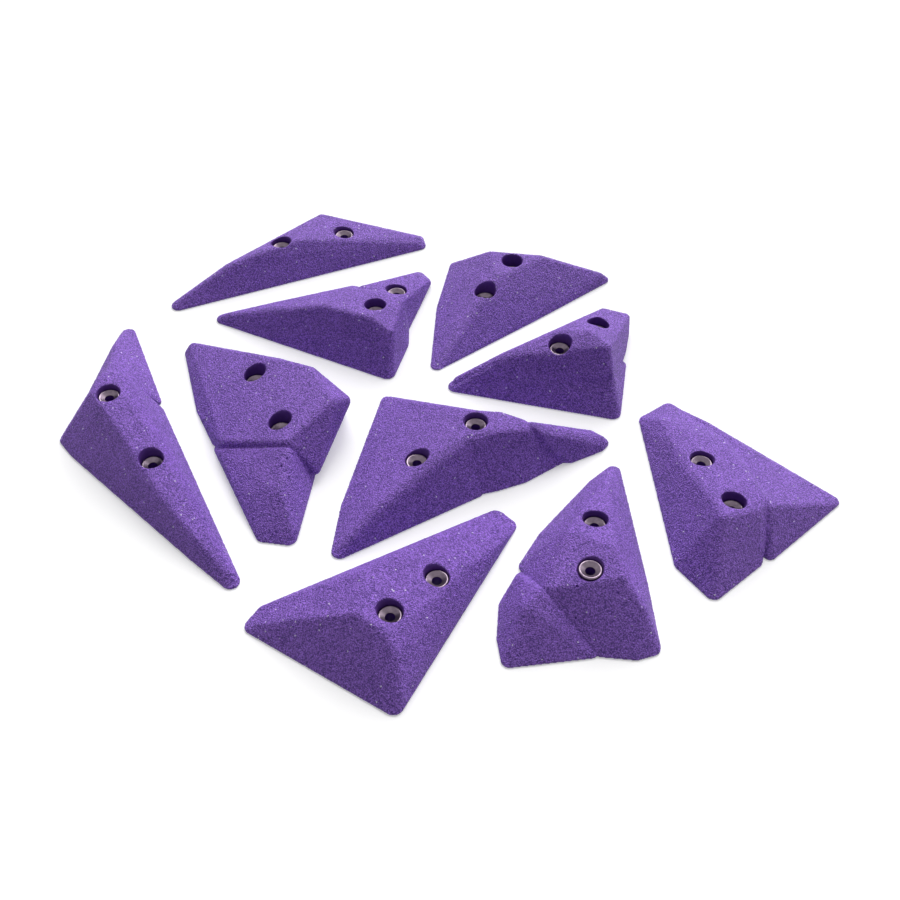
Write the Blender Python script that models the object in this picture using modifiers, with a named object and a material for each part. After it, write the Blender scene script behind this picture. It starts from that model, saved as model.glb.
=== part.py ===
"""Ten screw-on climbing holds of cast resin, lying on their flat backs as a set.

Every hold is one or more angular shards that run into each other. A shard stretches
like a skin over round corners on the back plane and round peaks above it. Two screw
pockets are sunk into each hold, and a steel cup washer sits on the floor of each.

Sizes are in millimetres here and are turned into metres where the meshes are made.
"""

from dataclasses import dataclass
from math import cos, pi, radians, sin

import bmesh
import bpy
from mathutils import Matrix, Vector
from mathutils.bvhtree import BVHTree

MM = 0.001

# Screw and cup washer
SCREW_DIAMETER = 6.0
WASHER_DIAMETER = 15.0
WASHER_HEIGHT = 2.6
WASHER_RIM = 1.6
WASHER_THICKNESS = 0.6
WASHER_SCREW_CLEARANCE = 0.6
RESIN_SCREW_CLEARANCE = 1.5
SEAT_GAP = 0.3

# Pocket in the resin
POCKET_CLEARANCE = 0.5
MOUTH_ROUNDING = 2.5

# Skin of a shard
LAND_HEIGHT = 1.2
CORNER_SIDES = 16
PEAK_SIDES = 12
PEAK_RINGS = 8
POCKET_SIDES = 20
WASHER_SIDES = 16

RIM_ANGLES = (-50, 0, 50, 90)

# How far a cutter runs past what it cuts, and a height above every hold
CUTTER_OVERRUN = 10.0
SKY = 200.0

# What counts as a sliver, and the angle in degrees under which two facets are one flat
SLIVER = 0.01
FLAT_ANGLE = 0.3

POCKET_RADIUS = WASHER_DIAMETER / 2 + POCKET_CLEARANCE
SCREW_HOLE_RADIUS = (SCREW_DIAMETER + RESIN_SCREW_CLEARANCE) / 2
WASHER_HOLE_RADIUS = (SCREW_DIAMETER + WASHER_SCREW_CLEARANCE) / 2

RESIN_COLOUR = (0.165, 0.075, 0.40, 1.0)
STEEL_COLOUR = (0.62, 0.61, 0.60, 1.0)


@dataclass(frozen=True)
class Shard:
    """Corners are (x, y, radius) on the back plane, peaks are (x, y, height, radius)."""

    corners: tuple
    peaks: tuple


@dataclass(frozen=True)
class Hold:
    """One hold, drawn from the middle between its pockets, with x from pocket a to pocket b."""

    name: str
    place: tuple
    turn: float
    pitch: float
    seats: tuple
    shards: tuple

    def pockets(self):
        """Gives the letter, x and seat height of each pocket."""
        return (("a", -self.pitch / 2, self.seats[0]), ("b", self.pitch / 2, self.seats[1]))


LONG_RIDGE = Hold(
    name="hold_01",
    place=(-107.9, 202.6),
    turn=21.0,
    pitch=54.5,
    seats=(13.0, 11.0),
    shards=(
        Shard(
            corners=((-122, -26, 6), (87, -19, 6), (88, -12, 5), (17, 34, 6), (-102, -17, 5)),
            peaks=(
                (-117, -27, 8, 4), (-75, -9, 18.5, 5), (-52, -6, 21.5, 6), (-36, -11, 19, 6),
                (-11, -3, 23, 6), (12, 18, 27, 7), (25, -9, 17, 6), (59, -15, 10.5, 5), (86, -16, 7.5, 4.5),
            ),
        ),
    ),
)

BROW_WITH_SIDE_SHARD = Hold(
    name="hold_02",
    place=(-42.9, 114.6),
    turn=64.0,
    pitch=34.5,
    seats=(20.0, 14.0),
    shards=(
        Shard(
            corners=(
                (-55, 119, 5.5), (-53, -29, 6.5), (-19, -24, 5), (-2, -17, 5), (22, 44, 6), (-20, 87, 5),
            ),
            peaks=(
                (-55, 115, 7.5, 4), (-42, 77, 20, 6), (-32, 36, 31, 6), (-33, -9, 31, 7),
                (-36, -19, 25.5, 7), (-4, -12, 31, 5), (-3, 2, 31, 5), (-14, 18, 31, 5),
            ),
        ),
        Shard(
            corners=((0, -16, 5), (59, -5, 5), (63, 3, 5), (21, 37, 5)),
            peaks=((54, -6, 8, 4), (47, 1, 13, 5), (-4, 19, 26, 5), (-6, -11, 28, 5)),
        ),
    ),
)

FLAT_TOPPED_WEDGE = Hold(
    name="hold_03",
    place=(46.6, 142.6),
    turn=55.0,
    pitch=39.0,
    seats=(12.0, 14.0),
    shards=(
        Shard(
            corners=(
                (16, 53, 5), (-36, 30, 5), (-94, -6, 5), (-2, -34, 4.5), (72, -55, 4.5), (32, 27, 6),
                (51, -7, 6),
            ),
            peaks=(
                (-60, -3, 13, 6), (-34, -3, 20.5, 7), (17, 18, 28, 6), (36, -16, 27, 6),
                (-3, -1, 28, 7), (53, -36, 17, 5), (69, -52, 7, 4),
            ),
        ),
    ),
)

OVERHUNG_PROW = Hold(
    name="hold_04",
    place=(104.6, 61.1),
    turn=40.0,
    pitch=40.0,
    seats=(27.0, 22.0),
    shards=(
        Shard(
            corners=((-78, 39, 5), (35, -13, 4), (1, -32, 5), (55, 4, 5), (57, 20, 5)),
            peaks=(
                (-54, 22, 24, 6), (-34, 1, 31, 6), (-22, -13, 36, 6), (-11, -19, 39, 6), (1, -27, 39, 6),
                (41, 15, 24, 5), (-13, 6, 38, 6), (-1, -12, 42, 6), (60, 9, 14, 4), (-40, -7, 17.5, 4),
                (-6, -37, 29, 4),
            ),
        ),
        Shard(
            corners=((-85, 41, 6), (-16, -54, 6.5), (22, -25, 4)),
            peaks=((-54, 20, 23, 5), (-34, -1, 29, 5), (-1, -27, 36, 5)),
        ),
    ),
)

THREE_STEP_TAIL = Hold(
    name="hold_05",
    place=(5.1, -45.9),
    turn=33.0,
    pitch=48.5,
    seats=(18.0, 27.0),
    shards=(
        Shard(
            corners=(
                (-100, -26, 6), (5, -29, 5), (0, 81, 5), (-51, 31, 4), (37, 35, 6), (65, 5, 5),
            ),
            peaks=(
                (-88, -23, 10.5, 6), (-66, -17, 18, 6), (-45, -13, 22.5, 6), (-25, -12, 26.5, 7),
                (-8, -7, 31, 7), (14, -7, 34, 7), (22, 14, 34, 5), (41, -5, 34, 5),
            ),
        ),
        Shard(
            corners=(
                (-8, -24, 4), (20, -32, 5), (40, -36, 5), (68, -36, 5), (34, 30, 5), (64, 3, 5),
                (85, -10, 5),
            ),
            peaks=(
                (-7, -6, 30, 6), (14, -7, 33.5, 6), (28, -11, 34, 7), (51, -17, 30, 7), (52, -13, 30, 5),
                (22, 14, 33, 5), (41, -5, 33, 5),
            ),
        ),
        Shard(
            corners=((57, -34, 4), (73, -37, 4.5), (106, -41, 6), (70, -5, 5), (111, -38, 5)),
            peaks=(
                (62, -15, 23, 5), (78, -23, 17, 5), (90, -34, 12, 4), (102, -43, 7, 4), (102, -32, 8, 4),
                (107, -36, 6, 3),
            ),
        ),
    ),
)

TWIN_RIDGE_SPINE = Hold(
    name="hold_06",
    place=(-215.9, -33.9),
    turn=-55.0,
    pitch=66.5,
    seats=(30.0, 18.0),
    shards=(
        Shard(
            corners=(
                (-43, -34, 6), (140, 2.5, 6), (107, -7, 5), (-30, 29, 5), (-27, -34, 5), (-68, 0, 5),
            ),
            peaks=(
                (-28, -10, 36, 6), (-20, -6, 36, 6), (0, -6, 32, 7), (17, -7, 28, 7), (37, -10, 23, 7),
                (67, -7, 18.5, 7), (83, -5.5, 16, 7), (100, -0.5, 13.5, 7), (134, 2.5, 7.5, 5),
                (-18, 7, 36, 6), (0, 7, 33, 7), (16, 8, 29, 7), (42, 8, 23, 7), (74, 4.5, 17.5, 7),
                (-38, -6, 37, 5), (-52, 9, 37, 5),
            ),
        ),
        Shard(
            corners=((-127, 51, 5.5), (-40, 34, 4.5), (-76, 0, 5)),
            peaks=((-53, 7, 30, 5), (-106, 34, 12, 5), (-44, 18, 26, 6)),
        ),
    ),
)

SLAB_OVER_STEP = Hold(
    name="hold_07",
    place=(-123.9, 0.6),
    turn=-66.0,
    pitch=59.5,
    seats=(13.0, 17.0),
    shards=(
        Shard(
            corners=(
                (-97, -32, 6), (-32, -40, 5), (2, -39, 5), (55, 11, 4), (9, 49, 5), (32, 32, 5),
                (-89, -24, 5),
            ),
            peaks=(
                (-99, -27, 8, 4), (-29, 18, 31, 5), (-5, 35, 36, 5), (30, 37, 37, 7), (25, 49, 29, 5),
                (64, 13, 12, 4), (50, -1, 30, 5), (15, -38, 13, 5),
            ),
        ),
        Shard(
            corners=((14, -42, 4), (102, -38, 6), (111, -24, 6), (61, 9, 4)),
            peaks=((56, -5, 25, 5), (79, -18, 19.5, 7), (108, -21, 7, 5), (63, 4, 9, 4)),
        ),
    ),
)

SPINE_WITH_FOOT_SHARD = Hold(
    name="hold_08",
    place=(98.1, -141.4),
    turn=81.0,
    pitch=42.5,
    seats=(30.0, 23.0),
    shards=(
        Shard(
            corners=(
                (93, -9, 5), (-1, -33, 5), (-51, -43, 6.5), (-56, -33, 6), (-57, -15, 6), (0, 41, 5),
                (27, 31, 5), (80, 2, 4.5),
            ),
            peaks=(
                (58, -4, 20, 6), (22, -9, 31, 7), (-8, -12, 38, 7), (-25, -17, 36, 7), (-33, 3, 36, 6),
                (-37, 22, 31, 6), (-36, -32, 21, 6), (26, 7, 31, 6), (6, 15, 33, 6),
            ),
        ),
        Shard(
            corners=(
                (-34, 50, 5), (-59, 48, 5), (-74, 43, 5.5), (-60, -2, 5.5), (-10, 42, 5), (-23, 16, 5),
            ),
            peaks=((-36, 29, 23, 6), (-47, 35, 22, 7), (-58, 6, 12, 6)),
        ),
    ),
)

BLUNT_PROW_WEDGE = Hold(
    name="hold_09",
    place=(-14.9, -175.4),
    turn=49.0,
    pitch=43.0,
    seats=(22.0, 16.0),
    shards=(
        Shard(
            corners=((-71, 71, 6.5), (-56, -34, 6.5), (97, 3, 6), (98, 14, 6), (-9, 40, 6), (21, 29, 6)),
            peaks=(
                (-62, 71, 8, 5), (-58, 49, 13, 6), (-42, 26, 23.5, 6), (-34, 15, 29, 6), (-35, 2, 27.5, 6),
                (-34, -8, 26.5, 6), (-38, -20, 20.5, 7), (-48, -33, 10, 6), (-13, -9, 26.5, 7),
                (26, -6, 18.5, 7), (42, -3, 17, 7), (71, -3, 9, 6), (-12, 31, 32, 5), (15, 24, 30, 6),
                (57, 20, 17, 6),
            ),
        ),
    ),
)

BEVELLED_PROW_WITH_WING = Hold(
    name="hold_10",
    place=(187.6, -80.4),
    turn=-73.0,
    pitch=46.0,
    seats=(16.0, 19.0),
    shards=(
        Shard(
            corners=(
                (-88, -9, 5.5), (4, -32, 5), (42, -42, 5), (69, -32, 6), (54, 5, 5), (-96, 11, 5),
                (-21, 43, 6),
            ),
            peaks=(
                (-73, -5, 13.5, 5), (-50, -8, 18, 6), (-14, -12, 24, 7), (16, -11, 31, 7),
                (34, -13, 33, 6), (31, 11, 28, 6), (24, 21, 26.5, 6), (5, 21, 24.5, 5),
                (-18, 23, 21, 5), (-40, 25, 16, 5), (-52, 5, 18, 6), (-82, 6, 8, 4),
            ),
        ),
        Shard(
            corners=((21, 79, 5), (50, 18, 5), (-35, 45, 5)),
            peaks=((28, 23, 23, 5), (26, 50, 14, 5), (3, 24, 19, 5), (-5, 52, 13, 5)),
        ),
    ),
)

HOLDS = (
    LONG_RIDGE,
    BROW_WITH_SIDE_SHARD,
    FLAT_TOPPED_WEDGE,
    OVERHUNG_PROW,
    THREE_STEP_TAIL,
    TWIN_RIDGE_SPINE,
    SLAB_OVER_STEP,
    SPINE_WITH_FOOT_SHARD,
    BLUNT_PROW_WEDGE,
    BEVELLED_PROW_WITH_WING,
)


def clear_scene():
    """Removes what the new file starts with."""
    for thing in list(bpy.data.objects):
        bpy.data.objects.remove(thing, do_unlink=True)


def make_material(name, colour, roughness, metallic):
    """Gives a Principled material of one colour."""
    material = bpy.data.materials.new(name)
    material.use_nodes = True
    shader = material.node_tree.nodes["Principled BSDF"]
    shader.inputs["Base Color"].default_value = colour
    shader.inputs["Roughness"].default_value = roughness
    shader.inputs["Metallic"].default_value = metallic
    material.diffuse_color = colour
    return material


def make_collection(name):
    """Gives a new collection of the scene."""
    collection = bpy.data.collections.new(name)
    bpy.context.scene.collection.children.link(collection)
    return collection


def add_object(name, mesh, collection, parent):
    """Puts a mesh into the scene as an object under its parent."""
    thing = bpy.data.objects.new(name, mesh)
    collection.objects.link(thing)
    thing.parent = parent
    return thing


def finished_mesh(name, bm):
    """Turns a finished bmesh into mesh data."""
    mesh = bpy.data.meshes.new(name)
    bm.to_mesh(mesh)
    bm.free()
    return mesh


def shard_mesh(name, shard):
    """Stretches a skin over the corners and peaks of one shard."""
    bm = bmesh.new()
    for x, y, radius in shard.corners:
        for z in (0.0, LAND_HEIGHT):
            spot = Matrix.Translation(Vector((x, y, z)) * MM)
            bmesh.ops.create_circle(bm, segments=CORNER_SIDES, radius=radius * MM, matrix=spot)
    for x, y, height, radius in shard.peaks:
        spot = Matrix.Translation(Vector((x, y, height - radius)) * MM)
        bmesh.ops.create_uvsphere(
            bm, u_segments=PEAK_SIDES, v_segments=PEAK_RINGS, radius=radius * MM, matrix=spot
        )
    below = [vert for vert in bm.verts if vert.co.z < -0.001 * MM]
    bmesh.ops.delete(bm, geom=below, context="VERTS")
    bmesh.ops.delete(bm, geom=list(bm.edges), context="EDGES_FACES")
    bmesh.ops.convex_hull(bm, input=bm.verts)
    loose = [vert for vert in bm.verts if not vert.link_faces]
    bmesh.ops.delete(bm, geom=loose, context="VERTS")
    bmesh.ops.recalc_face_normals(bm, faces=bm.faces)
    return finished_mesh(name, bm)


def closed_profile(name, points):
    """Joins (radius, height) points into a closed line for a Screw modifier to turn."""
    bm = bmesh.new()
    verts = [bm.verts.new((radius * MM, 0.0, height * MM)) for radius, height in points]
    for start, end in zip(verts, verts[1:] + verts[:1]):
        bm.edges.new((start, end))
    return finished_mesh(name, bm)


def washer_profile():
    """Gives the section of a cup washer: a rolled rim outside and a cup that falls to the screw."""
    bead = WASHER_RIM / 2
    outer = WASHER_DIAMETER / 2
    inner = outer - bead
    hole = WASHER_HOLE_RADIUS
    shoulder = WASHER_HEIGHT - bead
    rim = [
        (inner + bead * sin(radians(angle)), shoulder + bead * cos(radians(angle)))
        for angle in RIM_ANGLES
    ]
    underside = [
        (outer, 0.0),
        (inner, 0.0),
        (inner - WASHER_THICKNESS, shoulder - WASHER_THICKNESS),
        (hole + WASHER_THICKNESS, 0.0),
        (hole, 0.0),
        (hole, WASHER_THICKNESS),
    ]
    return rim + underside


def ring(bm, x, radius, height_at):
    """Adds a ring of points round a pocket at x, each at the height that height_at gives."""
    verts = []
    for index in range(POCKET_SIDES):
        angle = 2 * pi * index / POCKET_SIDES
        spot = Vector((x + radius * cos(angle), radius * sin(angle), 0.0))
        spot.z = height_at(spot)
        verts.append(bm.verts.new(spot * MM))
    return verts


def pocket_rings(bm, x, seat, surface):
    """Gives the rings of one pocket's cutter, from below the back up to above its rounded mouth."""
    mouth_low = lambda spot: max(surface(spot) - MOUTH_ROUNDING, seat + SEAT_GAP)
    fold = MOUTH_ROUNDING * (1 - cos(radians(45)))
    return (
        ring(bm, x, SCREW_HOLE_RADIUS, lambda spot: -CUTTER_OVERRUN),
        ring(bm, x, SCREW_HOLE_RADIUS, lambda spot: seat),
        ring(bm, x, POCKET_RADIUS, lambda spot: seat),
        ring(bm, x, POCKET_RADIUS, mouth_low),
        ring(bm, x, POCKET_RADIUS + fold, lambda spot: surface(spot) - fold),
        ring(bm, x, POCKET_RADIUS + MOUTH_ROUNDING + fold, lambda spot: surface(spot) + fold),
        ring(bm, x, POCKET_RADIUS + MOUTH_ROUNDING + fold, lambda spot: surface(spot) + CUTTER_OVERRUN),
    )


def pockets_mesh(hold, surface):
    """Lofts the cutter of both pockets of a hold, whose mouths follow the surface."""
    bm = bmesh.new()
    for _, x, seat in hold.pockets():
        rings = pocket_rings(bm, x, seat, surface)
        for low, high in zip(rings, rings[1:]):
            for index in range(POCKET_SIDES):
                after = (index + 1) % POCKET_SIDES
                bm.faces.new((low[index], low[after], high[after], high[index]))
        bm.faces.new(reversed(rings[0]))
        bm.faces.new(rings[-1])
    bmesh.ops.triangulate(bm, faces=bm.faces)
    return finished_mesh(f"{hold.name}_pockets", bm)


def surface_of(thing):
    """Gives a function that finds the height of an object's skin at a spot."""
    tree = BVHTree.FromObject(thing, bpy.context.evaluated_depsgraph_get())

    def height(spot):
        """Looks straight down on the skin, and takes the back plane where there is none."""
        start = Vector((spot.x, spot.y, SKY)) * MM
        hit = tree.ray_cast(start, Vector((0.0, 0.0, -1.0)))[0]
        return hit.z / MM if hit else 0.0

    return height


def add_boolean(thing, operation, tool):
    """Joins or cuts an object with a tool, which becomes a guide."""
    boolean = thing.modifiers.new(tool.name, "BOOLEAN")
    boolean.operation = operation
    boolean.solver = "EXACT"
    boolean.object = tool
    tool.hide_render = True
    tool.display_type = "WIRE"


def clean_flats(thing):
    """Welds slivers and joins the facets that lie in one plane."""
    weld = thing.modifiers.new("weld_slivers", "WELD")
    weld.merge_threshold = SLIVER * MM
    flats = thing.modifiers.new("join_flats", "DECIMATE")
    flats.decimate_type = "DISSOLVE"
    flats.angle_limit = radians(FLAT_ANGLE)


def build_body(hold, datum, pieces, guides, material):
    """Builds the resin body of a hold: its shards run into one, less its two pockets."""
    main_shard, *side_shards = hold.shards
    body = add_object(f"{hold.name}_body", shard_mesh(hold.name, main_shard), pieces, datum)
    body.data.materials.append(material)
    for number, shard in enumerate(side_shards, start=2):
        name = f"{hold.name}_shard_{number}"
        add_boolean(body, "UNION", add_object(name, shard_mesh(name, shard), guides, datum))
    bpy.context.view_layer.update()
    pockets = pockets_mesh(hold, surface_of(body))
    add_boolean(body, "DIFFERENCE", add_object(pockets.name, pockets, guides, datum))
    clean_flats(body)


def build_washer(name, x, seat, mesh, datum, pieces):
    """Seats one cup washer on the floor of its pocket."""
    washer = add_object(name, mesh, pieces, datum)
    washer.location = Vector((x, 0.0, seat + SEAT_GAP)) * MM
    screw = washer.modifiers.new("turned", "SCREW")
    screw.steps = WASHER_SIDES
    screw.render_steps = WASHER_SIDES
    screw.use_merge_vertices = True
    screw.merge_threshold = 0.00001


def main():
    """Builds the whole set."""
    clear_scene()
    pieces = make_collection("climbing_hold_set")
    guides = make_collection("cutters_and_guides")
    resin = make_material("resin", RESIN_COLOUR, 0.85, 0.0)
    steel = make_material("steel", STEEL_COLOUR, 0.3, 1.0)
    washer_mesh = closed_profile("cup_washer", washer_profile())
    washer_mesh.materials.append(steel)
    for hold in HOLDS:
        datum = add_object(f"{hold.name}_datum", None, guides, None)
        datum.location = Vector((*hold.place, 0.0)) * MM
        datum.rotation_euler.z = radians(hold.turn)
        build_body(hold, datum, pieces, guides, resin)
        for letter, x, seat in hold.pockets():
            build_washer(f"{hold.name}_washer_{letter}", x, seat, washer_mesh, datum, pieces)


main()
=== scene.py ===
"""Looks of a set of ten cast resin climbing holds that lie flat on their backs.

Each casting is modelled here from the corners and peaks of its shards, and gets its coarse,
sandy skin as real geometry. The frame gives the places and depths of the screw pockets and
of the turned cup washers in them. The set lies on a pale table under a wide soft light.
Lengths are in metres, and MM turns millimetres into metres.
"""

import logging
from dataclasses import dataclass, field
from enum import Enum
from math import cos, pi, radians, sin

import bpy
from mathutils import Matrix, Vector


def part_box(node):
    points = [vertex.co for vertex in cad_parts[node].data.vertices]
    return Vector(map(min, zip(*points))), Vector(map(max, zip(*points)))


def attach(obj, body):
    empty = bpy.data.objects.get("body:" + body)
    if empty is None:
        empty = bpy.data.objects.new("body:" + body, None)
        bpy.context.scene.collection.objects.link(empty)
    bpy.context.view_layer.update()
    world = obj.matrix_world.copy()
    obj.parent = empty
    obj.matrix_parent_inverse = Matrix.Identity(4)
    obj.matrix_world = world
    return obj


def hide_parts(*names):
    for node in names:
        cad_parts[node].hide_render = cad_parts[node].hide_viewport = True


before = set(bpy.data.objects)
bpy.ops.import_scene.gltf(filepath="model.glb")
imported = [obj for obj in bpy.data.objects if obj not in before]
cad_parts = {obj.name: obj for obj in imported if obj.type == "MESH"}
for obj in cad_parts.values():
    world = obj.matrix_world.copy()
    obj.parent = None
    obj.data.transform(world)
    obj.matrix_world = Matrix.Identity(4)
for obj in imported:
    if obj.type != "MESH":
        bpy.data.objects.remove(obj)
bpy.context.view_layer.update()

MM = 0.001
BODY = "root"
SAND = "sand"

# The middle of a noise or a draw, which moves nothing and leaves a colour as it is.
MIDDLE = 0.5

# Blender's numbers for the sockets of a Mix node that mixes colours.
MIX_SHARE, MIX_FIRST, MIX_SECOND, MIX_RESULT = 0, 6, 7, 2

Colour = tuple[float, float, float, float]
Point = tuple[float, float, float]
Corner = tuple[float, float, float]
Peak = tuple[float, float, float, float]

log = logging.getLogger("climbing_hold_set")


class Slot(Enum):
    """The record's material slots."""

    RESIN = "hold_resin"
    STEEL = "washer_steel"


class Side(Enum):
    """The two pockets of a hold."""

    A = "a"
    B = "b"


class Signal:
    """A value that changes over a surface, which can take part in sums."""

    def __init__(self, bench: "FinishBench", socket: bpy.types.NodeSocket) -> None:
        """Keeps the node socket that gives the value and the bench that it lies on."""
        self.bench = bench
        self.socket = socket

    def _sum(self, operation: str, first: "Signal | float", second: "Signal | float") -> "Signal":
        """Adds one Math node.

        Args:
            operation: The node's operation.
            first: Its first value.
            second: Its second value.

        Returns:
            The result of the sum.
        """
        return self.bench.node("ShaderNodeMath", {"operation": operation}, {0: first, 1: second})

    def __add__(self, other: "Signal | float") -> "Signal":
        """Adds another value."""
        return self._sum("ADD", self, other)

    def __radd__(self, other: float) -> "Signal":
        """Adds this to a number."""
        return self._sum("ADD", other, self)

    def __sub__(self, other: "Signal | float") -> "Signal":
        """Takes another value away."""
        return self._sum("SUBTRACT", self, other)

    def __mul__(self, other: "Signal | float") -> "Signal":
        """Multiplies by another value."""
        return self._sum("MULTIPLY", self, other)

    def __rmul__(self, other: float) -> "Signal":
        """Multiplies a number by this."""
        return self._sum("MULTIPLY", other, self)

    def __gt__(self, other: "Signal | float") -> "Signal":
        """Gives 1 where this is above another value, and 0 elsewhere."""
        return self._sum("GREATER_THAN", self, other)


class FinishBench:
    """The node tree of one material, or of the world."""

    def __init__(self, owner: bpy.types.Material | bpy.types.World) -> None:
        """Starts with an empty node tree.

        Args:
            owner: The new material or world.
        """
        self.owner = owner
        self.owner.use_nodes = True
        self.tree = self.owner.node_tree
        self.tree.nodes.clear()

    def node(
        self,
        kind: str,
        settings: dict[str, object] | None = None,
        sockets: dict[str | int, object] | None = None,
        output: str | int = 0,
    ) -> Signal:
        """Adds any node.

        Args:
            kind: Blender's name for the node's type.
            settings: The node's own settings, set before its sockets.
            sockets: The value or signal of each socket, by its name or number.
            output: The socket that gives the result.

        Returns:
            The node's result.
        """
        added = self.tree.nodes.new(kind)
        for name, value in (settings or {}).items():
            setattr(added, name, value)
        for name, value in (sockets or {}).items():
            if isinstance(value, Signal):
                self.tree.links.new(value.socket, added.inputs[name])
            else:
                added.inputs[name].default_value = value
        return Signal(self, added.outputs[output])

    def places(self) -> Signal:
        """Gives the coordinates of the piece itself."""
        return self.node("ShaderNodeTexCoord", output="Object")

    def draw(self, size: float) -> Signal:
        """Packs the surface with grains of a size, each of which draws a number between 0 and 1."""
        sockets = {"Vector": self.places(), "Scale": 1 / size}
        colour = self.node("ShaderNodeTexVoronoi", sockets=sockets, output="Color")
        return self.node("ShaderNodeSeparateColor", sockets={0: colour})

    def clouds(self, size: float, detail: float = 2.0) -> Signal:
        """Gives soft clouds of about a size, between 0 and 1."""
        sockets = {"Vector": self.places(), "Scale": 1 / size, "Detail": detail}
        return self.node("ShaderNodeTexNoise", sockets=sockets)

    def blend(self, share: "Signal | float", first: object, second: object) -> Signal:
        """Mixes two colours.

        Args:
            share: How much of the second colour shows.
            first: The first colour.
            second: The second colour.

        Returns:
            The mixed colour.
        """
        sockets = {MIX_SHARE: share, MIX_FIRST: first, MIX_SECOND: second}
        return self.node("ShaderNodeMix", {"data_type": "RGBA"}, sockets, MIX_RESULT)

    def bump(self, height: Signal, depth: float) -> Signal:
        """Gives the normals of a relief.

        Args:
            height: The relief, between 0 and 1.
            depth: How deep it is, in metres.

        Returns:
            The normals.
        """
        return self.node("ShaderNodeBump", sockets={"Distance": depth, "Height": height})

    def finish(
        self, shader: Signal, kind: str = "ShaderNodeOutputMaterial"
    ) -> bpy.types.Material | bpy.types.World:
        """Lets a shader show.

        Args:
            shader: The shader.
            kind: Blender's name for the type of the output node.

        Returns:
            The finished material or world.
        """
        output = self.tree.nodes.new(kind)
        self.tree.links.new(shader.socket, output.inputs["Surface"])
        return self.owner


@dataclass(frozen=True)
class ResinFinish:
    """Purple polyurethane, filled with fine sand that stands proud of the skin, but bored smooth, with
    painted shade between its grains, a few painted glints, and partly painted shade in its bores.
    """

    deep: Colour = (0.075, 0.022, 0.250, 1.0)
    pale: Colour = (0.385, 0.178, 0.830, 1.0)
    # Darker than the sandy skin: partly the smooth bore's own colour, partly painted shade inside the
    # pockets.
    bore: Colour = (0.105, 0.036, 0.270, 1.0)
    # A pale colour painted on a few grains as glints of light off the sand.
    painted_glint: Colour = (0.78, 0.70, 0.95, 1.0)
    grain: float = 0.85 * MM
    grain_detail: float = 3.0
    # How strongly the grain relief paints shade into the hollows between grains and light onto their tops.
    relief_shading: float = 3.2
    tinting: float = 0.75
    relief: float = 1.7 * MM
    mottle: float = 12 * MM
    mottling: float = 0.3
    painted_glint_size: float = 0.9 * MM
    painted_glint_share: float = 0.0025
    roughness: float = 0.55
    bore_roughness: float = 0.40
    gloss: float = 0.48

    def material(self) -> bpy.types.Material:
        """Mixes the finish."""
        bench = FinishBench(bpy.data.materials.new("sanded_purple_resin"))
        sand = bench.node("ShaderNodeAttribute", {"attribute_name": SAND}, output="Fac")
        relief = bench.clouds(self.grain, self.grain_detail)
        mottle = bench.clouds(self.mottle)
        tint = bench.draw(self.grain)
        # Painted shade and light: the colour follows the grain relief, darker in the hollows between grains
        # and paler on their tops; the per-grain tint and the mottle are the resin's own random tone.
        shade = (
            MIDDLE + self.relief_shading * (relief - MIDDLE) + self.tinting * (tint - MIDDLE)
            + self.mottling * (mottle - MIDDLE)
        )
        body = bench.blend(shade, self.deep, self.pale)
        # Painted highlights: a few random grains take the pale glint colour in place of real sparkle.
        painted_glints = bench.draw(self.painted_glint_size) > 1 - self.painted_glint_share
        sandy = bench.blend(painted_glints, body, self.painted_glint)
        shader = bench.node("ShaderNodeBsdfPrincipled", sockets={
            "Base Color": bench.blend(sand, self.bore, sandy),
            "Roughness": self.bore_roughness + (self.roughness - self.bore_roughness) * sand,
            "Specular IOR Level": self.gloss,
            "Normal": bench.bump(relief * sand, self.relief),
        })
        return bench.finish(shader)


@dataclass(frozen=True)
class SteelFinish:
    """Zinc plated steel, turned bright and dulled a little by handling, in dark purple colours that are
    painted reflection of the pocket walls and painted shade deep in the pockets.
    """

    # Both colours are dark and purple: painted reflection of the purple pocket walls and painted shade deep
    # in the pockets; the stain between them is handling wear.
    bright: Colour = (0.30, 0.24, 0.29, 1.0)
    dull: Colour = (0.11, 0.08, 0.12, 1.0)
    stain: float = 2.5 * MM
    stain_detail: float = 3.0
    scratch: float = 0.4 * MM
    scratch_detail: float = 1.0
    relief: float = 0.02 * MM
    polish: float = 0.22
    wear: float = 0.20

    def material(self) -> bpy.types.Material:
        """Mixes the finish."""
        bench = FinishBench(bpy.data.materials.new("zinc_plated_steel"))
        stain = bench.clouds(self.stain, self.stain_detail)
        scratch = bench.clouds(self.scratch, self.scratch_detail)
        shader = bench.node("ShaderNodeBsdfPrincipled", sockets={
            "Base Color": bench.blend(stain, self.bright, self.dull),
            "Metallic": 1.0,
            "Roughness": self.polish + self.wear * stain,
            "Normal": bench.bump(scratch, self.relief),
        })
        return bench.finish(shader)


@dataclass(frozen=True)
class TableFinish:
    """A white table that a camera sees as almost pure white, with the shadows that fall on it."""

    white: Colour = (0.78, 0.78, 0.78, 1.0)
    lift: float = 0.32

    def material(self) -> bpy.types.Material:
        """Mixes the finish."""
        bench = FinishBench(bpy.data.materials.new("white_table"))
        paint = bench.node("ShaderNodeBsdfDiffuse", sockets={"Color": self.white})
        seen = seen_rays(bench)
        glow = bench.node("ShaderNodeEmission", sockets={"Strength": seen * self.lift})
        return bench.finish(bench.node("ShaderNodeAddShader", sockets={0: paint, 1: glow}))


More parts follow.
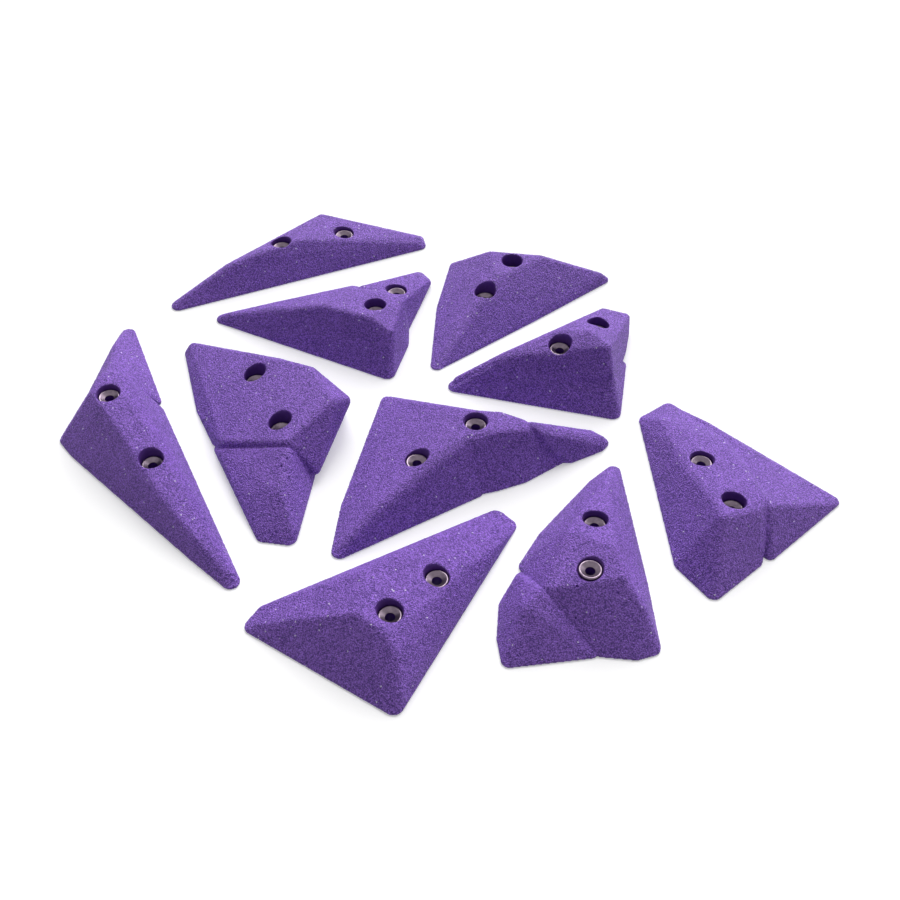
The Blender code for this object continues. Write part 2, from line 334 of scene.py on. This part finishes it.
def seen_rays(bench: FinishBench) -> Signal:
    """Gives 1 for rays by which the camera sees a thing, by itself or in metal and glass."""
    camera, glossy, through = (
        bench.node("ShaderNodeLightPath", output=name)
        for name in ("Is Camera Ray", "Is Glossy Ray", "Is Transmission Ray")
    )
    clamped = {"operation": "ADD", "use_clamp": True}
    return bench.node("ShaderNodeMath", clamped, {0: camera, 1: glossy + through})


def deselect_all() -> None:
    """Leaves nothing selected and nobody in edit mode."""
    if bpy.context.object and bpy.context.object.mode != "OBJECT":
        bpy.ops.object.mode_set(mode="OBJECT")
    bpy.ops.object.select_all(action="DESELECT")


def take_in_hand(thing: bpy.types.Object) -> None:
    """Makes one object the only one that is selected."""
    deselect_all()
    thing.select_set(True)
    bpy.context.view_layer.objects.active = thing


def apply_modifier(thing: bpy.types.Object, kind: str, **settings: object) -> None:
    """Adds a modifier with its settings and applies it.

    Args:
        thing: The object, which is in hand.
        kind: Blender's name for the modifier's type.
        settings: The modifier's own settings.
    """
    modifier = thing.modifiers.new(kind.lower(), kind)
    for name, value in settings.items():
        setattr(modifier, name, value)
    bpy.ops.object.modifier_apply(modifier=modifier.name)


@dataclass(frozen=True)
class Shard:
    """One angular lump of a hold, in millimetres on the hold's own axes.

    Its skin is stretched over round corners (x, y, radius) on the flat back and round peaks
    (x, y, height, radius) above it.
    """

    corners: tuple[Corner, ...]
    peaks: tuple[Peak, ...]
    land: float = 1.2
    corner_sides: int = 32
    peak_segments: int = 24
    peak_rings: int = 16

    def raise_corner(self, shape: "HoldShape", corner: Corner) -> None:
        """Adds the round corner, as thick as the land."""
        x, y, radius = corner
        bpy.ops.mesh.primitive_cylinder_add(
            vertices=self.corner_sides,
            radius=radius * MM,
            depth=self.land * MM,
            location=shape.spot(x, y, self.land / 2),
        )

    def raise_peak(self, shape: "HoldShape", peak: Peak) -> None:
        """Adds the ball whose top is the peak."""
        x, y, height, radius = peak
        bpy.ops.mesh.primitive_uv_sphere_add(
            segments=self.peak_segments,
            ring_count=self.peak_rings,
            radius=radius * MM,
            location=shape.spot(x, y, height - radius),
        )

    def stretch(self, shape: "HoldShape", name: str) -> bpy.types.Object:
        """Models the shard where it lies in the set.

        Args:
            shape: The hold that it belongs to.
            name: The new object's name.

        Returns:
            The shard, closed and in hand.
        """
        deselect_all()
        self.raise_corner(shape, self.corners[0])
        thing = bpy.context.object
        thing.name = name
        bpy.ops.object.transform_apply(location=True, rotation=False, scale=False)
        bpy.ops.object.mode_set(mode="EDIT")
        for corner in self.corners[1:]:
            self.raise_corner(shape, corner)
        for peak in self.peaks:
            self.raise_peak(shape, peak)
        bpy.ops.object.mode_set(mode="OBJECT")
        for vert in thing.data.vertices:
            vert.co.z = max(vert.co.z, 0.0)
        bpy.ops.object.mode_set(mode="EDIT")
        bpy.ops.mesh.select_all(action="SELECT")
        bpy.ops.mesh.convex_hull()
        bpy.ops.object.mode_set(mode="OBJECT")
        return thing


@dataclass(frozen=True)
class HoldShape:
    """The form of one hold, whose axes start between its pockets and turn with them."""

    number: int
    place: tuple[float, float]
    turn: float
    shards: tuple[Shard, ...]

    def spot(self, x: float, y: float, z: float) -> Vector:
        """Gives the place in the set, in metres, of a spot of the hold in millimetres."""
        turn = radians(self.turn)
        across = x * cos(turn) - y * sin(turn)
        along = x * sin(turn) + y * cos(turn)
        return Vector((self.place[0] + across, self.place[1] + along, z)) * MM


@dataclass(frozen=True)
class Pocket:
    """The middle of a screw pocket seen from above, and its washer's low and high side."""

    middle: Vector
    low: float
    high: float


@dataclass(frozen=True)
class Pinhole:
    """A small hole that an air bubble left, where x and y are in the frame."""

    x: float
    y: float
    width: float = 1.7 * MM
    depth: float = 1.4 * MM
    cuts: int = 2
    steepness: int = 4


@dataclass
class HoldCasting:
    """One hold: a solid pour of resin, sandy on every side but its flat back."""

    shape: HoldShape
    finish: bpy.types.Material
    pinholes: tuple[Pinhole, ...] = ()
    cell: float = 0.6 * MM
    melt: int = 3
    melt_factor: float = 0.5
    grain: float = 1.2 * MM
    grain_height: float = 0.75 * MM
    lump: float = 7 * MM
    lump_height: float = 0.22 * MM
    back_skin: float = 0.35 * MM
    back_facing: float = -0.9
    bore: float = 16 * MM
    bore_sides: int = 64
    bore_edge: float = 0.8 * MM
    screw_hole: float = 7.5 * MM
    seat_gap: float = 0.3 * MM
    clearance: float = 10 * MM
    tool_reach: float = 50 * MM
    mouth: float = 4 * MM
    mouth_lift: float = 1.5 * MM
    mouth_melt: int = 24
    crease: float = 60
    overhead: float = 1.0
    skin: bpy.types.Object = field(init=False)

    @property
    def name(self) -> str:
        """The name that the hold's pieces start with."""
        return f"hold_{self.shape.number:02d}"

    def find_pockets(self) -> list[Pocket]:
        """Finds the pockets by the washers that lie in them."""
        pockets = []
        for side in Side:
            low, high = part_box(f"{self.name}_washer_{side.value}")
            pockets.append(Pocket((Vector(low).xy + Vector(high).xy) / 2, low.z, high.z))
        return pockets

    def build(self) -> bpy.types.Object:
        """Casts the hold from its shards, bores it and gives it its skin.

        Returns:
            The casting.
        """
        self.run_shards_together()
        self.bore_pockets()
        self.remesh()
        self.group_skin()
        self.weather()
        for pinhole in self.pinholes:
            self.open_pinhole(pinhole)
        self.flatten_back()
        self.dress()
        return self.skin

    def run_shards_together(self) -> None:
        """Runs the shards of the hold into one solid."""
        shards = [
            shard.stretch(self.shape, f"{self.name}_shard_{number}")
            for number, shard in enumerate(self.shape.shards, start=1)
        ]
        self.skin = shards[0]
        self.skin.name = f"{self.name}_casting"
        for shard in shards[1:]:
            self.use_tool("UNION", shard)

    def use_tool(self, operation: str, tool: bpy.types.Object) -> None:
        """Joins the casting with a tool or cuts it, and puts the tool away."""
        take_in_hand(self.skin)
        apply_modifier(self.skin, "BOOLEAN", operation=operation, solver="EXACT", object=tool)
        bpy.data.objects.remove(tool, do_unlink=True)

    def bore_pockets(self) -> None:
        """Bores both pockets down to where their washers lie, and the screw holes through."""
        for pocket in self.find_pockets():
            seat = pocket.low - self.seat_gap
            for width, floor in ((self.bore, seat), (self.screw_hole, -self.clearance)):
                deselect_all()
                height = self.clearance + self.tool_reach
                spot = (pocket.middle.x, pocket.middle.y, floor + height / 2)
                bpy.ops.mesh.primitive_cylinder_add(
                    vertices=self.bore_sides, radius=width / 2, depth=height, location=spot
                )
                self.use_tool("DIFFERENCE", bpy.context.object)

    def remesh(self) -> None:
        """Gives the casting one even net of small faces."""
        apply_modifier(self.skin, "REMESH", mode="VOXEL", voxel_size=self.cell)

    def group_skin(self) -> None:
        """Marks all but the flat back as skin, what is sandy there, and the pockets' mouths."""
        front = self.skin.vertex_groups.new(name="front")
        mouths = self.skin.vertex_groups.new(name="mouths")
        sandy = self.skin.vertex_groups.new(name="sandy")
        pockets = self.find_pockets()
        shares = []
        for vert in self.skin.data.vertices:
            away, rim = min(((vert.co.xy - pocket.middle).length, pocket.high) for pocket in pockets)
            shares.append(min(max((away - self.bore / 2) / self.bore_edge, 0.0), 1.0))
            if vert.co.z > self.back_skin:
                front.add([vert.index], 1.0, "REPLACE")
                sandy.add([vert.index], shares[-1], "REPLACE")
                mouth = 1 - abs(away - self.bore / 2) / self.mouth
                if mouth > 0 and vert.co.z > rim + self.mouth_lift:
                    mouths.add([vert.index], mouth, "REPLACE")
        sand = self.skin.data.attributes.new(SAND, "FLOAT", "POINT")
        sand.data.foreach_set("value", shares)

    def weather(self) -> None:
        """Rounds the mouths, melts the facets together a little, and raises lumps and grains."""
        for group, times in (("mouths", self.mouth_melt), ("front", self.melt)):
            apply_modifier(
                self.skin, "SMOOTH", factor=self.melt_factor, iterations=times, vertex_group=group
            )
        for name, basis, size, height in (
            ("lumps", "BLENDER_ORIGINAL", self.lump, self.lump_height),
            ("grains", "VORONOI_F1", self.grain, self.grain_height),
        ):
            texture = bpy.data.textures.new(f"{self.name}_{name}", "CLOUDS")
            texture.noise_basis = basis
            texture.noise_scale = size
            texture.noise_depth = 1
            apply_modifier(
                self.skin, "DISPLACE", texture=texture, texture_coords="LOCAL", strength=height,
                mid_level=MIDDLE, vertex_group="sandy",
            )

    def open_pinhole(self, pinhole: Pinhole) -> None:
        """Refines the net round a pinhole and pushes its middle in.

        Args:
            pinhole: Where it is and how large.
        """
        above = Vector((pinhole.x, pinhole.y, self.overhead))
        hit, spot, normal, _ = self.skin.ray_cast(above, Vector((0.0, 0.0, -1.0)))
        if not hit:
            log.warning("no skin under the pinhole at %.4f, %.4f", pinhole.x, pinhole.y)
            return
        take_in_hand(self.skin)
        self.select_near(spot, pinhole.width)
        bpy.ops.object.mode_set(mode="EDIT")
        bpy.ops.mesh.subdivide(number_cuts=pinhole.cuts)
        bpy.ops.object.mode_set(mode="OBJECT")
        radius = pinhole.width / 2
        for vert in self.skin.data.vertices:
            away = (vert.co - spot).length / radius
            if away < 1:
                vert.co -= normal * pinhole.depth * (1 - away ** pinhole.steepness)

    def drop_selection(self) -> None:
        """Leaves no corner and no edge of the casting selected."""
        for part in (self.skin.data.vertices, self.skin.data.edges):
            part.foreach_set("select", [False] * len(part))

    def select_near(self, spot: Vector, reach: float) -> None:
        """Selects the faces within reach of a spot, and nothing else."""
        self.drop_selection()
        for face in self.skin.data.polygons:
            face.select = (face.center - spot).length < reach

    def flatten_back(self) -> None:
        """Presses the back flat and closes it again with as few faces as its outline needs."""
        self.drop_selection()
        for face in self.skin.data.polygons:
            face.select = face.center.z < self.back_skin and face.normal.z < self.back_facing
        take_in_hand(self.skin)
        bpy.ops.object.mode_set(mode="EDIT")
        bpy.ops.transform.resize(value=(1, 1, 0), center_override=(0, 0, 0))
        bpy.ops.mesh.delete(type="FACE")
        bpy.ops.mesh.select_non_manifold(extend=False)
        bpy.ops.mesh.fill(use_beauty=False)
        bpy.ops.object.mode_set(mode="OBJECT")

    def dress(self) -> None:
        """Shades the casting smooth, finishes it and puts it in the place of its node."""
        take_in_hand(self.skin)
        bpy.ops.object.shade_smooth_by_angle(angle=radians(self.crease))
        self.skin.data.materials.clear()
        self.skin.data.materials.append(self.finish)
        self.skin.vertex_groups.clear()
        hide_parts(f"{self.name}_body")
        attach(self.skin, BODY)


@dataclass
class CupWasher:
    """A turned steel washer with a rolled rim and a cup that falls to the screw hole."""

    finish: bpy.types.Material
    width: float = 15 * MM
    height: float = 2.6 * MM
    rim: float = 1.6 * MM
    sheet: float = 0.6 * MM
    hole: float = 6.6 * MM
    sides: int = 72
    rim_steps: int = 8
    cup_steps: int = 6
    groove: float = 0.03 * MM
    crest_share: float = 0.5
    crest_drop: float = 0.1 * MM
    rim_start: float = -20
    rim_sweep: float = 110
    weld: float = 0.001 * MM
    crease: float = 35
    pattern: bpy.types.Object = field(init=False)

    def section(self) -> list[tuple[float, float]]:
        """Draws the section, from the hole up the cup, over the rim and back below.

        Returns:
            Its points, as radius and height.
        """
        bead = self.rim / 2
        inner = self.width / 2 - bead
        shoulder = self.height - bead
        hole = self.hole / 2
        crest = inner - bead * self.crest_share
        climb = self.height - self.sheet - self.crest_drop
        cup = []
        for step in range(self.cup_steps + 1):
            share = step / self.cup_steps
            dip = self.groove if step % 2 else 0.0
            radius = hole + (crest - hole) * share
            cup.append((radius, self.sheet + climb * share - dip))
        rim = []
        for step in range(1, self.rim_steps + 1):
            angle = radians(self.rim_start + self.rim_sweep * step / self.rim_steps)
            rim.append((inner + bead * sin(angle), shoulder + bead * cos(angle)))
        below = [
            (self.width / 2, 0.0),
            (inner, 0.0),
            (inner - self.sheet, shoulder - self.sheet),
            (hole + self.sheet, 0.0),
            (hole, 0.0),
        ]
        return cup + rim + below

    def turn(self) -> bpy.types.Object:
        """Turns the washer on the origin, to be copied.

        Returns:
            The washer.
        """
        section = self.section()
        deselect_all()
        bpy.ops.mesh.primitive_circle_add(vertices=self.sides, radius=section[0][0], fill_type="NOTHING")
        self.pattern = bpy.context.object
        self.pattern.name = "cup_washer_pattern"
        bpy.ops.object.mode_set(mode="EDIT")
        bpy.ops.mesh.select_all(action="SELECT")
        bpy.ops.transform.translate(value=(0, 0, section[0][1]))
        for (radius, height), (wider, higher) in zip(section, section[1:]):
            bpy.ops.mesh.extrude_region_move()
            grow = wider / radius
            bpy.ops.transform.resize(value=(grow, grow, 1), center_override=(0, 0, 0))
            bpy.ops.transform.translate(value=(0, 0, higher - height))
        bpy.ops.mesh.extrude_region_move()
        bpy.ops.transform.translate(value=(0, 0, section[0][1] - section[-1][1]))
        bpy.ops.mesh.select_all(action="SELECT")
        bpy.ops.mesh.remove_doubles(threshold=self.weld)
        bpy.ops.mesh.normals_make_consistent(inside=False)
        bpy.ops.object.mode_set(mode="OBJECT")
        bpy.ops.object.shade_smooth_by_angle(angle=radians(self.crease))
        self.pattern.data.materials.append(self.finish)
        return self.pattern

    def seat(self, hold: str, side: Side) -> bpy.types.Object:
        """Puts a copy of the washer in the place of a node.

        Args:
            hold: The name of the hold.
            side: The pocket that it lies in.

        Returns:
            The copy.
        """
        node = f"{hold}_washer_{side.value}"
        low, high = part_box(node)
        mesh = self.pattern.data.copy()
        for vert in mesh.vertices:
            vert.co += Vector(((low.x + high.x) / 2, (low.y + high.y) / 2, low.z))
        washer = bpy.data.objects.new(f"{hold}_cup_washer_{side.value}", mesh)
        bpy.context.scene.collection.objects.link(washer)
        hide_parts(node)
        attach(washer, BODY)
        return washer

    def put_away(self) -> None:
        """Removes the pattern once every pocket has its copy."""
        bpy.data.objects.remove(self.pattern, do_unlink=True)


@dataclass(frozen=True)
class Window:
    """A wide soft light that is far away.

    Its bearing is counted from straight behind the set to the right, and its height from
    the table, both in degrees.
    """

    name: str
    bearing: float
    height: float
    width: float
    strength: float

    def hang(self) -> None:
        """Hangs the window."""
        lamp = bpy.data.lights.new(self.name, "SUN")
        lamp.energy = self.strength
        lamp.angle = radians(self.width)
        window = bpy.data.objects.new(self.name, lamp)
        bearing = radians(self.bearing)
        height = radians(self.height)
        towards = Vector((sin(bearing) * cos(height), cos(bearing) * cos(height), sin(height)))
        window.rotation_euler = towards.to_track_quat("Z", "Y").to_euler()
        bpy.context.scene.collection.objects.link(window)


@dataclass
class Studio:
    """The table and the light: a window behind the set, one to the right and a bright room."""

    table: float = 8.0
    table_drop: float = 0.05 * MM
    windows: tuple[Window, ...] = (
        Window("back_window", bearing=5, height=43, width=40, strength=2.9),
        Window("side_window", bearing=50, height=30, width=50, strength=0.85),
    )
    room: Colour = (1.0, 1.0, 1.0, 1.0)
    room_strength: float = 0.26

    def lay_table(self) -> None:
        """Lays the table just below the holds."""
        deselect_all()
        bpy.ops.mesh.primitive_plane_add(size=self.table, location=(0, 0, -self.table_drop))
        table = bpy.context.object
        table.name = "table"
        table.data.materials.append(TableFinish().material())

    def light_room(self) -> None:
        """Lights the room evenly, and lets a camera see it bright."""
        bench = FinishBench(bpy.data.worlds.new("room"))
        dim = bench.node(
            "ShaderNodeBackground", sockets={"Color": self.room, "Strength": self.room_strength}
        )
        bright = bench.node("ShaderNodeBackground")
        both = bench.node("ShaderNodeMixShader", sockets={0: seen_rays(bench), 1: dim, 2: bright})
        bpy.context.scene.world = bench.finish(both, "ShaderNodeOutputWorld")

    def build(self) -> None:
        """Sets the studio up."""
        self.lay_table()
        for window in self.windows:
            window.hang()
        self.light_room()


@dataclass(frozen=True)
class PhotoCamera:
    """The camera that took the picture: it looks down on the table from the front."""

    target: Point = (7.55 * MM, -27.86 * MM, 0.0)
    distance: float = 862 * MM
    pitch: float = 46
    lens: float = 48
    sensor: float = 36
    clip_start: float = 10 * MM

    def build(self) -> None:
        """Sets the camera up and makes it the scene's."""
        data = bpy.data.cameras.new("photo_camera")
        data.lens = self.lens
        data.sensor_width = self.sensor
        data.sensor_fit = "HORIZONTAL"
        data.clip_start = self.clip_start
        camera = bpy.data.objects.new("photo_camera", data)
        pitch = radians(self.pitch)
        back = Vector((0.0, -cos(pitch), sin(pitch))) * self.distance
        camera.location = Vector(self.target) + back
        camera.rotation_euler = (pi / 2 - pitch, 0.0, 0.0)
        bpy.context.scene.collection.objects.link(camera)
        bpy.context.scene.camera = camera


LONG_RIDGE = HoldShape(
    number=1,
    place=(-107.9, 202.6),
    turn=21.0,
    shards=(
        Shard(
            corners=((-122, -26, 6), (87.5, -19.5, 6), (89.5, -11.5, 5), (17, 34, 6), (-102, -17, 5)),
            peaks=(
                (-117, -24.5, 7, 3.5), (-75, -11.5, 18.5, 5), (-52, -8, 21.5, 5), (-36, -11, 17.5, 5),
                (-11, -4, 23, 5), (16, 27, 19, 6), (25, -9, 17, 5), (59, -13, 11.5, 4),
                (84, -20, 6, 3.5), (87, -15.5, 7, 4),
            ),
        ),
    ),
)

BROW_WITH_SIDE_SHARD = HoldShape(
    number=2,
    place=(-42.9, 114.6),
    turn=64.0,
    shards=(
        Shard(
            corners=(
                (-55, 119, 5.5), (-54, -29, 6.5), (-19, -24, 5), (-3, -16, 5), (22, 44, 6), (-20, 87, 5),
            ),
            peaks=(
                (-54, 115.5, 6.5, 3.5), (-42.5, 76.5, 19, 4), (-34, 34.5, 31, 5), (-32.5, -6.5, 33, 5),
                (-35, -21, 28, 5), (-2, -12, 29, 5), (-1.5, 2.5, 29, 5), (-6.5, 28.5, 28, 5),
            ),
        ),
        Shard(
            corners=((1, -15, 5), (59, -3, 5), (63, 4, 5), (21, 39, 5)),
            peaks=((55, -8, 7, 3.5), (49, 0.5, 13, 5), (5.5, 22.5, 24, 5), (-3, -9, 26, 5)),
        ),
    ),
)

FLAT_TOPPED_WEDGE = HoldShape(
    number=3,
    place=(46.6, 142.6),
    turn=55.0,
    shards=(
        Shard(
            corners=(
                (16, 53, 5), (-35.5, 30, 5), (-94, -6, 5), (-3, -35.5, 4.5), (71.5, -57.5, 4.5), (32, 27, 6),
                (51, -7, 6),
            ),
            peaks=(
                (-60, -3, 13, 6), (-34, -3, 20.5, 7), (18, 19.5, 28, 6), (37, -15.5, 27.5, 6),
                (-3, -1, 28, 7), (53, -36, 17, 5), (68.5, -55, 8, 4),
            ),
        ),
    ),
)

OVERHUNG_PROW = HoldShape(
    number=4,
    place=(104.6, 61.1),
    turn=40.0,
    shards=(
        Shard(
            corners=((-84, 42, 5), (38, -10.5, 4), (1, -32, 5), (55, 4, 5), (57, 20, 5)),
            peaks=(
                (-82, 43, 7, 4), (-52, 26, 24.5, 5), (-30, 4, 29.5, 5), (-20, -7.5, 33, 5),
                (-11.5, -13, 37, 5), (1.5, -26, 40, 5), (41, 14, 26, 5), (-11.5, 8, 37, 6),
                (0.5, -9.5, 42, 6), (60, 8, 15, 4), (-34.5, -13, 16, 2.5), (-5.5, -39.5, 25.5, 2.5),
            ),
        ),
        Shard(
            corners=((-85.5, 42, 6), (-15.5, -54, 6.5), (27, -21.5, 4)),
            peaks=((-53, 25, 23.5, 5), (-29.5, 4, 28, 5), (1, -25.5, 36.5, 5)),
        ),
    ),
)

THREE_STEP_TAIL = HoldShape(
    number=5,
    place=(5.1, -45.9),
    turn=33.0,
    shards=(
        Shard(
            corners=(
                (-100.5, -25.5, 6), (4.5, -30.5, 5), (0, 81, 5), (-49.5, 32.5, 5), (-77, 5.5, 5),
                (37, 35, 6), (65, 5, 5),
            ),
            peaks=(
                (-88, -23, 10.5, 6), (-66, -17, 18, 6), (-45, -13, 22.5, 6), (-25, -12, 26.5, 7),
                (-8, -7, 31, 7), (14, -7, 34, 7), (22, 14, 34, 5), (41, -5, 34, 5),
            ),
        ),
        Shard(
            corners=(
                (-8, -25, 4), (19, -33, 5), (39.5, -37, 5), (72, -37, 4), (34, 30, 5), (64, 3, 5),
            ),
            peaks=(
                (-7, -6, 30, 6), (14, -7, 33.5, 6), (28, -11, 34, 7), (52, -19, 30, 6), (53.5, -14.5, 30, 5),
                (22, 14, 33, 5), (42.5, -3.5, 34, 5),
            ),
        ),
        Shard(
            corners=(
                (75, -38, 4), (78, -40.5, 4), (102.5, -42, 5), (107, -40.5, 5), (60, 2, 5), (102, -30, 5),
            ),
            peaks=(
                (58, -19.5, 30, 3), (60.5, -18, 25, 3), (63, -27, 25, 3), (66.5, -33.5, 15, 3),
                (77, -26.5, 20, 5), (90.5, -34.5, 13, 4), (102, -42, 6, 4), (101.5, -33, 9, 4),
                (106, -40, 7, 3.5),
            ),
        ),
    ),
)

TWIN_RIDGE_SPINE = HoldShape(
    number=6,
    place=(-215.9, -33.9),
    turn=-55.0,
    shards=(
        Shard(
            corners=(
                (-43, -34, 6), (139.5, 1.5, 6), (107, -7, 5), (-32, 31, 5), (-27, -34, 5), (-67, 1, 5),
            ),
            peaks=(
                (-23.5, -7, 36, 4), (3, -6.5, 32.5, 4), (20.5, -6.5, 28.5, 4), (38, -8.5, 24, 4),
                (68, -6.5, 19.5, 4), (84, -4.5, 17, 4), (99.5, -0.5, 14, 5), (134, 2.5, 7.5, 5),
                (-18, 7, 36, 6), (0, 7, 33, 7), (16, 8, 29, 7), (42, 8, 23, 7), (74, 4.5, 17.5, 7),
                (-41, -7, 36, 5), (-52.5, 5.5, 37, 5), (-51.5, 10, 37, 5), (-41.5, 16, 35, 5),
            ),
        ),
        Shard(
            corners=((-127, 51, 5.5), (-43, 34.5, 4.5), (-76, 0, 5)),
            peaks=((-61.5, 10, 24, 5), (-106, 34, 12, 5), (-51, 21.5, 20, 6)),
        ),
    ),
)

SLAB_OVER_STEP = HoldShape(
    number=7,
    place=(-123.9, 0.6),
    turn=-66.0,
    shards=(
        Shard(
            corners=(
                (-97, -32, 6), (-33, -42, 5), (4, -41, 5), (55, 11, 4), (9, 49, 5), (32, 32, 5),
                (-89, -24, 5),
            ),
            peaks=(
                (-97, -30, 9, 5), (-29, 18, 31, 5), (-5, 35, 36, 5), (30, 37, 37, 7), (25, 49, 29, 5),
                (64, 12, 11, 4), (50, -1, 30, 5), (15, -38, 13, 5), (38.5, 32.5, 22, 4), (52.5, 19, 16, 4),
            ),
        ),
        Shard(
            corners=((12.5, -41.5, 5), (102, -38, 6), (111, -24, 6), (61, 9, 4)),
            peaks=(
                (56.5, -4.5, 27, 5), (22, -42, 9, 4), (63, -41.5, 8, 4), (82, -19, 20, 6),
                (98, -38, 6, 4), (108.5, -21, 7, 5), (63, 4.5, 11, 4),
            ),
        ),
    ),
)

SPINE_WITH_FOOT_SHARD = HoldShape(
    number=8,
    place=(98.1, -141.4),
    turn=81.0,
    shards=(
        Shard(
            corners=(
                (94.5, -10, 5), (-1, -33, 5), (-51, -42, 6.5), (-56, -33, 6), (-57, -13, 6), (0, 41, 5),
                (27, 31, 5), (80, 2, 4.5),
            ),
            peaks=(
                (60, -5, 21, 5), (23, -6.5, 32, 5), (-5, -12, 38, 5), (-23, -19, 34, 5), (-29, 3.5, 31, 6),
                (-33, 24.5, 27, 5), (-35.5, -33, 21, 5), (26.5, 7.5, 31, 5), (5, 14, 35, 6),
            ),
        ),
        Shard(
            corners=(
                (-34, 50, 5), (-59, 48, 5), (-74, 43, 5.5), (-59.5, -5.5, 5.5), (-10, 42, 5), (-23, 16, 5),
            ),
            peaks=((-37.5, 29, 26, 5), (-47, 35, 23, 6), (-56, 6, 9, 5), (-18, 43.5, 12, 4)),
        ),
    ),
)

BLUNT_PROW_WEDGE = HoldShape(
    number=9,
    place=(-14.9, -175.4),
    turn=49.0,
    shards=(
        Shard(
            corners=((-71, 71, 6.5), (-56, -34, 6.5), (97, 3, 6), (98, 14, 6), (-9, 40, 6), (21, 29, 6)),
            peaks=(
                (-60, 74, 6, 4), (-69, 66, 7, 4), (-58.5, 49, 13, 4), (-43.5, 25, 26, 4), (-36.5, 13, 33, 4),
                (-35.5, 1, 31.5, 4), (-34.5, -9, 29.5, 4), (-38.5, -21.5, 22, 4), (-50, -32.5, 11, 4),
                (-13, -9, 26.5, 7), (26, -6, 18.5, 7), (42, -3, 17, 7), (71, -3, 9, 6), (-12, 31, 32, 5),
                (15, 24, 30, 6), (57, 20, 17, 6),
            ),
        ),
    ),
)

BEVELLED_PROW_WITH_WING = HoldShape(
    number=10,
    place=(187.6, -80.4),
    turn=-73.0,
    shards=(
        Shard(
            corners=(
                (-88, -10.5, 5.5), (4, -32, 5), (42, -42, 5), (69, -32, 6), (54, 5, 5), (-96, 11, 5),
                (-21, 43, 6),
            ),
            peaks=(
                (-73, -5, 13.5, 5), (-50, -8, 18, 6), (-14, -12, 24, 7), (16, -11, 31, 7),
                (34, -13, 33, 6), (31, 11, 28, 6), (24, 21, 26.5, 6), (5, 21, 24.5, 5),
                (-18, 23, 21, 5), (-40, 25, 16, 5), (-52, 5, 18, 6), (-83, 7, 8, 4),
            ),
        ),
        Shard(
            corners=((22, 80, 5), (51.5, 17, 4.5), (-91, 13, 5)),
            peaks=(
                (28.5, 23.5, 24, 5), (26.5, 50, 14, 5), (1.5, 24.5, 19, 5), (-14.5, 51, 11, 4),
                (-36, 37, 13, 4), (-66.5, 25.5, 9, 4),
            ),
        ),
    ),
)

SHAPES = (
    LONG_RIDGE,
    BROW_WITH_SIDE_SHARD,
    FLAT_TOPPED_WEDGE,
    OVERHUNG_PROW,
    THREE_STEP_TAIL,
    TWIN_RIDGE_SPINE,
    SLAB_OVER_STEP,
    SPINE_WITH_FOOT_SHARD,
    BLUNT_PROW_WEDGE,
    BEVELLED_PROW_WITH_WING,
)

PINHOLES = {
    7: (Pinhole(-103.9 * MM, -60.0 * MM), Pinhole(-107.5 * MM, -65.9 * MM)),
    8: (
        Pinhole(125.1 * MM, -111.6 * MM),
        Pinhole(85.8 * MM, -173.0 * MM),
        Pinhole(124.8 * MM, -165.8 * MM),
        Pinhole(110.9 * MM, -176.4 * MM),
        Pinhole(85.1 * MM, -187.2 * MM),
    ),
    10: (Pinhole(210.3 * MM, -65.7 * MM),),
}


def main() -> None:
    """Builds the castings, their washers and the studio round them."""
    logging.basicConfig(level=logging.INFO, format="%(message)s")
    resin = ResinFinish().material()
    washer = CupWasher(SteelFinish().material())
    washer.turn()
    for shape in SHAPES:
        hold = HoldCasting(shape, resin, PINHOLES.get(shape.number, ()))
        casting = hold.build()
        log.info("%s: %d faces", casting.name, len(casting.data.polygons))
        for side in Side:
            log.info("%s seated", washer.seat(hold.name, side).name)
    washer.put_away()
    Studio().build()
    PhotoCamera().build()
    view = bpy.context.scene.view_settings
    view.view_transform = "Standard"


if __name__ == "__main__":
    main()
